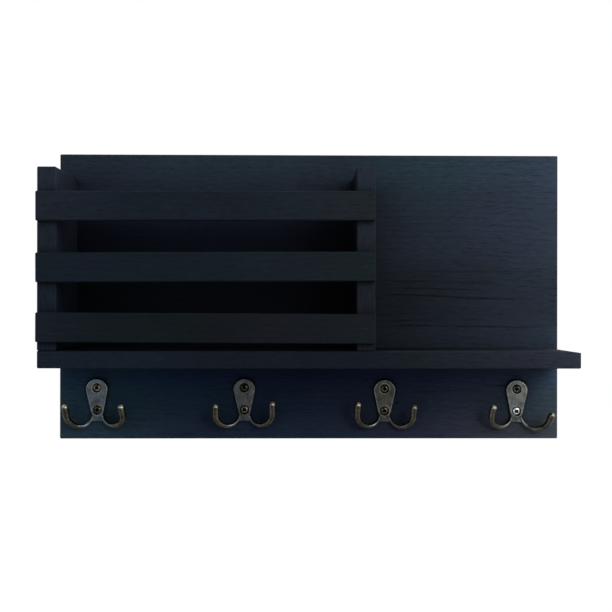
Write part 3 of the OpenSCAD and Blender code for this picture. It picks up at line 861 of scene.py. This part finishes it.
def casting_marks(vertices, number, routes):
    """What each point of a casting tells its finish. routes are those of its prongs, by side."""
    marks = {name: [] for name in ("worn", "prong", "tip", "grime")}
    for vertex in vertices:
        point, normal = vertex.co, vertex.normal
        side = 1 if point.x > 0 else -1
        route, highlight_spot = routes[side]
        share = route.find(point)[1] / ROUTE_STEPS
        on_prong = ramp(share, *PRONG_FROM)
        front = -normal.y
        # Painted reflection: pale stripes along a prong's flanks, as of lamps on either side
        flank = 1 - abs(abs(normal.x) - FLANK_TURN) / FLANK_REACH
        stripe = (STRIPE_LEAST + STRIPE_MORE * flank) * PRONG_STRIPE_REFLECTION[number - 1][side > 0]
        # Painted highlight at the bottom of the left bend, where it faces the front
        bend = max(0, 1 - abs(share - BEND_HIGHLIGHT_AT) / BEND_HIGHLIGHT_REACH) * max(0, front)
        bend *= BEND_HIGHLIGHT[number - 1] * (side < 0)
        # Painted highlight on the rubbed tip, off to its upper right
        at_tip = 1 - ramp((point - highlight_spot).length, *TIP_HIGHLIGHT_AND_RUB_R)
        at_tip *= TIP_HIGHLIGHT_AND_RUB[number - 1][side > 0]
        # Rubbed rims with a painted highlight, brighter on some hooks
        on_plate = max(plate_wear_and_highlight(point) * RIM_HIGHLIGHT_AND_RUBBING[number - 1], bend)
        marks["worn"].append((1 - on_prong) * on_plate + on_prong * max(stripe, at_tip))
        marks["prong"].append(on_prong)
        marks["tip"].append(at_tip)
        # Dirt and painted shade on faces turned away from the front and inside the countersinks
        marks["grime"].append(1 - ramp(front, *GRIME_AND_SHADE_TURN) * (1 - sink_depth(point)))
    return marks


def set_marks(piece, marks, domain="POINT"):
    """Writes values for each point or face of a mesh under the names that its finish reads."""
    for name, values in marks.items():
        piece.data.attributes.new(name, "FLOAT", domain).data.foreach_set("value", values)


def cast_hook(number, finish):
    """One casting: plate, foot and two prongs run together, then bored for its two screws."""
    left_reach, left_rise, right_reach, right_rise = HOOK_BENDS[number - 1]
    blank = join([
        eased_slab("plate", plate_outline, PLATE_T),
        eased_slab("foot", foot_outline, FOOT_T),
        prong("right_prong", 1, right_reach, right_rise),
        prong("left_prong", -1, left_reach, left_rise),
    ])
    add_modifier(blank, "REMESH", {"mode": "VOXEL", "voxel_size": CASTING_VOXEL})
    add_modifier(blank, "SMOOTH", {"factor": 0.5, "iterations": CASTING_SMOOTHING})
    apply_modifiers(blank)
    cut(blank, [countersink(0), countersink(HOOK_SCREW_GAP)])
    smooth_shading(blank, CASTING_CREASE_DEG)

    left_route = prong_route(-1, left_reach, left_rise)
    right_route = prong_route(1, right_reach, right_rise)
    routes = {-1: left_route, 1: right_route}
    set_marks(blank, casting_marks(blank.data.vertices, number, routes))
    return in_place(blank, f"cast_hook_{number}", hook_place(number), finish,
                    f"coat_hook_{number}")


# Hook screws. The recess is in millimetres: depth, half length and half width of its arms,
# and radius and depth of the round pit where they meet. The pairs are upper and lower screw

RECESS_ARM = ((-0.6, 2.4, 0.72), (0, 2.2, 0.66), (1.5, 1.2, 0.42))
RECESS_PIT = ((1.6, -0.6), (1.4, 0), (0.5, 1.9), (0.1, 2.1))
RECESS_GRIME_AND_SHADE = (0.04 * MM, 0.08 * MM)
SCREW_TURNS_DEG = ((38, 5), (20, 55), (8, 62), (12, 45))
# Painted reflection: how bright each head is painted, upper and lower screw
SCREW_SHINE = ((0.56, 0.3), (0.22, 0.5), (0.46, 0.36), (0.5, 0.92))


def recess_cutters(out):
    """Cutters for a cross recess: two tapering arms and a round pit where they meet."""
    def arm(turn):
        loops = []
        for depth, reach, half in RECESS_ARM:
            corners = ((reach, half), (-reach, half), (-reach, -half), (reach, -half))
            loops.append([Vector((x * MM, -out + depth * MM, z * MM)) for x, z in corners])
        made = loft("recess_arm", loops)
        made.data.transform(Matrix.Rotation(math.radians(turn), 4, "Y"))
        return made
    profile = [(radius * MM, out - depth * MM) for radius, depth in RECESS_PIT]
    pit = turned("recess_pit", profile, sides=24)
    return [arm(0), arm(90), pit]


def dome_out(radius, dome_r, rim_out):
    """How far out of the board a screw's raised head reaches at that distance from its axis."""
    return rim_out + math.sqrt(dome_r ** 2 - radius ** 2) - dome_r + HEAD_DOME


def hook_screw(turn, shine):
    """Raised countersunk screw with a cross recess, in the frame of its own axis."""
    dome_r = (HEAD_R ** 2 + HEAD_DOME ** 2) / (2 * HEAD_DOME)
    rim_out = PLATE_T - HEAD_DEPTH
    point_out = rim_out - SCREW_LEN
    profile = [
        (SCREW_POINT_R, point_out), (SHANK_R, point_out + SCREW_POINT_LEN),
        (SHANK_R, rim_out - HEAD_RIM - (HEAD_R - SHANK_R)),
        (HEAD_R - RIM_RING, rim_out - HEAD_RIM - RIM_RING), (HEAD_R, rim_out - HEAD_RIM),
        (HEAD_R, rim_out - RIM_EASE_DOWN),
    ]
    for k in range(DOME_STEPS):
        radius = (HEAD_R - RIM_EASE_IN) * (1 - k / DOME_STEPS)
        profile.append((radius, dome_out(radius, dome_r, rim_out)))
    made = turned("hook_screw", profile)
    cut(made, recess_cutters(rim_out + HEAD_DOME))
    # Dirt and painted shade in the cross recess, black the deeper a face lies below the dome
    grime = []
    for face in made.data.polygons:
        radius = math.hypot(face.center.x, face.center.z)
        below = dome_out(min(radius, HEAD_R), dome_r, rim_out) + face.center.y
        grime.append(ramp(below, *RECESS_GRIME_AND_SHADE))
    set_marks(made, {"shine": [shine] * len(grime), "grime": grime}, "FACE")
    made.data.transform(Matrix.Rotation(math.radians(turn), 4, "Y"))
    return made


def hook_screws(number, finish):
    """The two screws of one hook."""
    pair = []
    for i, z in enumerate((HOOK_SCREW_GAP, 0)):
        one = hook_screw(SCREW_TURNS_DEG[number - 1][i], SCREW_SHINE[number - 1][i])
        one.data.transform(Matrix.Translation((0, 0, z)))
        smooth_shading(one, SCREW_CREASE_DEG)
        pair.append(one)
    both = join(pair)
    return in_place(both, f"raised_screws_{number}", hook_place(number), finish,
                    f"hook_{number}_screws")


def in_place(piece, name, place, finish, node):
    """Moves a piece from its own frame to its place on the organizer, with its finish."""
    piece.name = name
    piece.data.name = name
    piece.data.transform(place)
    piece.data.materials.clear()
    piece.data.materials.append(finish)
    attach(piece, "root")
    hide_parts(node)
    return piece


def dress(node, material):
    """Gives one of the frame's own solids its finish."""
    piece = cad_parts[node]
    piece.data.materials.clear()
    piece.data.materials.append(material)
    for face in piece.data.polygons:
        face.material_index = 0


# Finishes on the frame's own solids

# The backboard's stain from left to right, below the shelf and above it, with painted light in it:
# paler towards the ends, most towards the lit right end
BOARD_TONES = (
    (0, 0, ((0, (41, 65, 82)), (0.25, (28, 46, 69)), (0.5, (26, 38, 63)), (0.75, (38, 50, 70)),
            (1, (65, 75, 91)))),
    (0.28, 0.32, ((0, (39, 49, 61)), (0.62, (38, 46, 57)), (0.78, (37, 48, 59)), (1, (47, 58, 72)))),
)

# How it fades and turns bluer from the bottom edge up, as painted shade and light: bluer in the
# shelf's shadow below it, paler just above the shelf, darker across the middle, and paler and more
# teal along the top
BOARD_SHADES = (
    (0, 0.01, (1.22, 0.98, 0.88, 1)),
    (0.05, 0.12, (0.92, 0.98, 0.92, 1)),
    (0.15, 0.22, (0.88, 1.03, 1.24, 1)),
    (0.28, 0.32, (1.34, 1.26, 1.28, 1)),
    (0.36, 0.46, (0.87, 0.85, 0.84, 1)),
    (0.48, 0.54, (0.78, 0.79, 0.74, 1)),
    (0.57, 0.68, (1.0, 0.95, 1.0, 1)),
    (0.84, 0.96, (1.1, 1.23, 1.21, 1)),
)

# Dark streaks and bruises in the right part of the backboard, in metres
BOARD_DARK_LINES = (
    (0.0223, 0, 0.085, 0.205, 0.6),
    (0.0137, -0.01, 0.058, 0.17, 0.9),
    (0.0074, -0.01, 0.06, 0.16, 0.7),
    (0.0022, -0.03, 0.055, 0.195, 0.95),
    (-0.0212, 0.02, 0.062, 0.12, 0.8),
    (-0.0253, 0, 0.06, 0.212, 0.9),
    (-0.0829, 0.06, 0.085, 0.155, 0.9),
    (-0.0774, 0.02, 0.145, 0.2, 1.0),
)
BOARD_NICKS = ((0.0491, -0.0716, 0.0014), (0.0759, -0.0916, 0.002))

# The other boards have one band each, its tones from left to right or from the bottom up. The
# tones hold painted light besides the stain: the shelf paler towards its lit right end and the
# side panels paler towards their tops
SHELF_TONES = ((0, (24, 33, 44)), (0.3, (19, 26, 36)), (0.6, (18, 26, 34)), (0.69, (20, 28, 33)),
               (0.81, (26, 35, 41)), (0.92, (38, 43, 54)), (1, (45, 51, 62)))
LEFT_PANEL_TONES = ((0, (23, 33, 45)), (0.5, (29, 37, 45)), (1, (37, 42, 54)))
RIGHT_PANEL_TONES = ((0, (24, 29, 37)), (0.5, (28, 34, 41)), (1, (35, 40, 53)))
TOP_SLAT_TONES = ((0, (32, 36, 47)), (0.3, (22, 30, 40)), (0.8, (24, 31, 39)), (1, (26, 33, 37)))
MIDDLE_SLAT_TONES = ((0, (21, 30, 39)), (0.3, (18, 27, 36)), (0.7, (20, 28, 36)), (1, (21, 31, 34)))
BOTTOM_SLAT_TONES = ((0, (24, 31, 42)), (0.2, (15, 25, 28)), (0.6, (18, 22, 28)), (1, (21, 27, 32)))

dress("backboard", stained_board(
    "backboard", along=X, across=Z, seed=1.7, bands=BOARD_TONES, shades=BOARD_SHADES, pocket=0.72,
    dark_lines=BOARD_DARK_LINES, nicks=BOARD_NICKS, rear=tone(40, 48, 60),
))
dress("shelf", stained_board(
    "shelf", along=X, across=Y, seed=4.1, bands=((0, 0, SHELF_TONES),), falls=0.1, arris=0.16,
))
for side, seed, tones, pocket in (
    ("left", 6.3, LEFT_PANEL_TONES, -0.6),
    ("right", 8.9, RIGHT_PANEL_TONES, 0.6),
):
    node = f"side_panel_{side}"
    dress(node, stained_board(
        node, along=Z, across=Y, seed=seed, bands=((0, 0, tones),), pocket=pocket, panel=True,
    ))
for slat, seed, tones, slope_deg in (
    ("top", 11.2, TOP_SLAT_TONES, 0.14),
    ("middle", 13.6, MIDDLE_SLAT_TONES, 0.28),
    ("bottom", 16.4, BOTTOM_SLAT_TONES, -0.24),
):
    node = f"slat_{slat}"
    slope = math.tan(math.radians(slope_deg))
    dress(node, stained_board(
        node, along=X, across=Z, seed=seed, bands=((0, 0, tones),), slope=slope,
    ))

brad_finish = stained_brad_heads()
for slat in ("top", "middle", "bottom"):
    dress(f"brads_{slat}_slat", brad_finish)

zinc_screw_finish = zinc_plate(
    "zinc_screws", colour=tone(190, 192, 196), dark=tone(128, 130, 136), seed=0.3,
)
for node in ("rear_screws_left_panel", "rear_screws_right_panel", "rear_screws_shelf",
             "under_screws_left_panel", "under_screws_right_panel",
             "hanger_screws_left", "hanger_screws_right"):
    dress(node, zinc_screw_finish)

hanger_finish = zinc_plate(
    "zinc_hangers", colour=tone(198, 200, 204), dark=tone(142, 146, 152), seed=0.7,
)
for side in ("left", "right"):
    dress(f"hanger_plate_{side}", hanger_finish)

# Hooks and their screws

# Tone of each casting's plate, from the first hook to the last one
PLATE_TONES = ((80, 90, 97), (70, 73, 75), (65, 65, 61), (89, 92, 90))

screw_finish = antique_screw_heads()
for number, steps in enumerate(PLATE_TONES, 1):
    cast_hook(number, antique_casting(f"antique_casting_{number}", tone(*steps), 0.13 * number))
    hook_screws(number, screw_finish)

# Room: a pale floor well below the organizer, white all round, and two soft lamps

FLOOR_DROP = 0.6
FLOOR_HALF = 6.0
FLOOR_GLOW = 0.6
ROOM_LEVEL = 0.45


def pale_floor():
    z = BOARD_LOW.z - FLOOR_DROP
    corners = [(-FLOOR_HALF, -FLOOR_HALF, z), (FLOOR_HALF, -FLOOR_HALF, z),
               (FLOOR_HALF, FLOOR_HALF, z), (-FLOOR_HALF, FLOOR_HALF, z)]
    floor = mesh_object("pale_floor", corners, [(0, 1, 2, 3)])
    finish = Finish("pale_floor", {"Specular IOR Level": 0.1, "Emission Color": (1, 1, 1, 1)})
    grain = finish.noise(finish.object_spot(), 30, 3)
    colour = finish.blend(grain, tone(238, 238, 238), tone(246, 246, 246))
    seen = finish.node("ShaderNodeLightPath", output="Is Camera Ray")
    glow = finish.node("ShaderNodeEmission", None, {"Color": (1, 1, 1, 1), "Strength": FLOOR_GLOW})
    plain = Flow(finish, finish.shader.outputs["BSDF"])
    sum_of_both = finish.node("ShaderNodeAddShader", None, {0: plain, 1: glow})
    shown = finish.node("ShaderNodeMixShader", None, {0: seen, 1: plain, 2: sum_of_both})
    surface = finish.tree.nodes["Material Output"].inputs["Surface"]
    finish.tree.links.new(shown.socket, surface)
    finish.feed({"Base Color": colour, "Roughness": 0.7 + grain * 0.2})
    floor.data.materials.append(finish.material)


def white_room():
    world = bpy.data.worlds.new("white_room")
    bpy.context.scene.world = world
    world.use_nodes = True
    room = Graph(world.node_tree)
    rays = [room.node("ShaderNodeLightPath", output=f"Is {kind} Ray")
            for kind in ("Camera", "Glossy", "Transmission")]
    seen = rays[0].math("MAXIMUM", rays[1]).math("MAXIMUM", rays[2])
    strength = ROOM_LEVEL + seen * (1 - ROOM_LEVEL)
    background = world.node_tree.nodes["Background"]
    background.inputs["Color"].default_value = (1, 1, 1, 1)
    world.node_tree.links.new(strength.socket, background.inputs["Strength"])


def soft_lamp(name, place, aim, side, watts):
    light = bpy.data.lights.new(name, "AREA")
    light.shape = "SQUARE"
    light.size = side
    light.energy = watts
    lamp = bpy.data.objects.new(name, light)
    lamp.location = place
    lamp.rotation_euler = (Vector(aim) - Vector(place)).to_track_quat("-Z", "Y").to_euler()
    bpy.context.scene.collection.objects.link(lamp)


def photograph_camera():
    data = bpy.data.cameras.new("photograph")
    data.sensor_width = SENSOR_WIDTH
    data.lens = SENSOR_WIDTH * PIXELS_AT_ONE_METRE / IMAGE_SIDE
    data.shift_x = (IMAGE_SIDE / 2 - STRAIGHT_AHEAD[0]) / IMAGE_SIDE
    data.shift_y = (STRAIGHT_AHEAD[1] - IMAGE_SIDE / 2) / IMAGE_SIDE
    camera = bpy.data.objects.new("photograph", data)
    camera.location = CAMERA_PLACE
    camera.rotation_euler = [math.radians(a) for a in (90, CAMERA_ROLL_DEG, CAMERA_TURN_DEG)]
    bpy.context.scene.collection.objects.link(camera)
    bpy.context.scene.camera = camera


pale_floor()
white_room()
soft_lamp("window", place=(0.6, -0.75, 0.55), aim=(0, -0.05, 0), side=0.6, watts=5.6)
soft_lamp("low_window", place=(0.62, -1.02, 0.2), aim=(0, -0.05, -0.05), side=0.24, watts=2.2)
photograph_camera()
bpy.context.scene.view_settings.view_transform = "Standard"
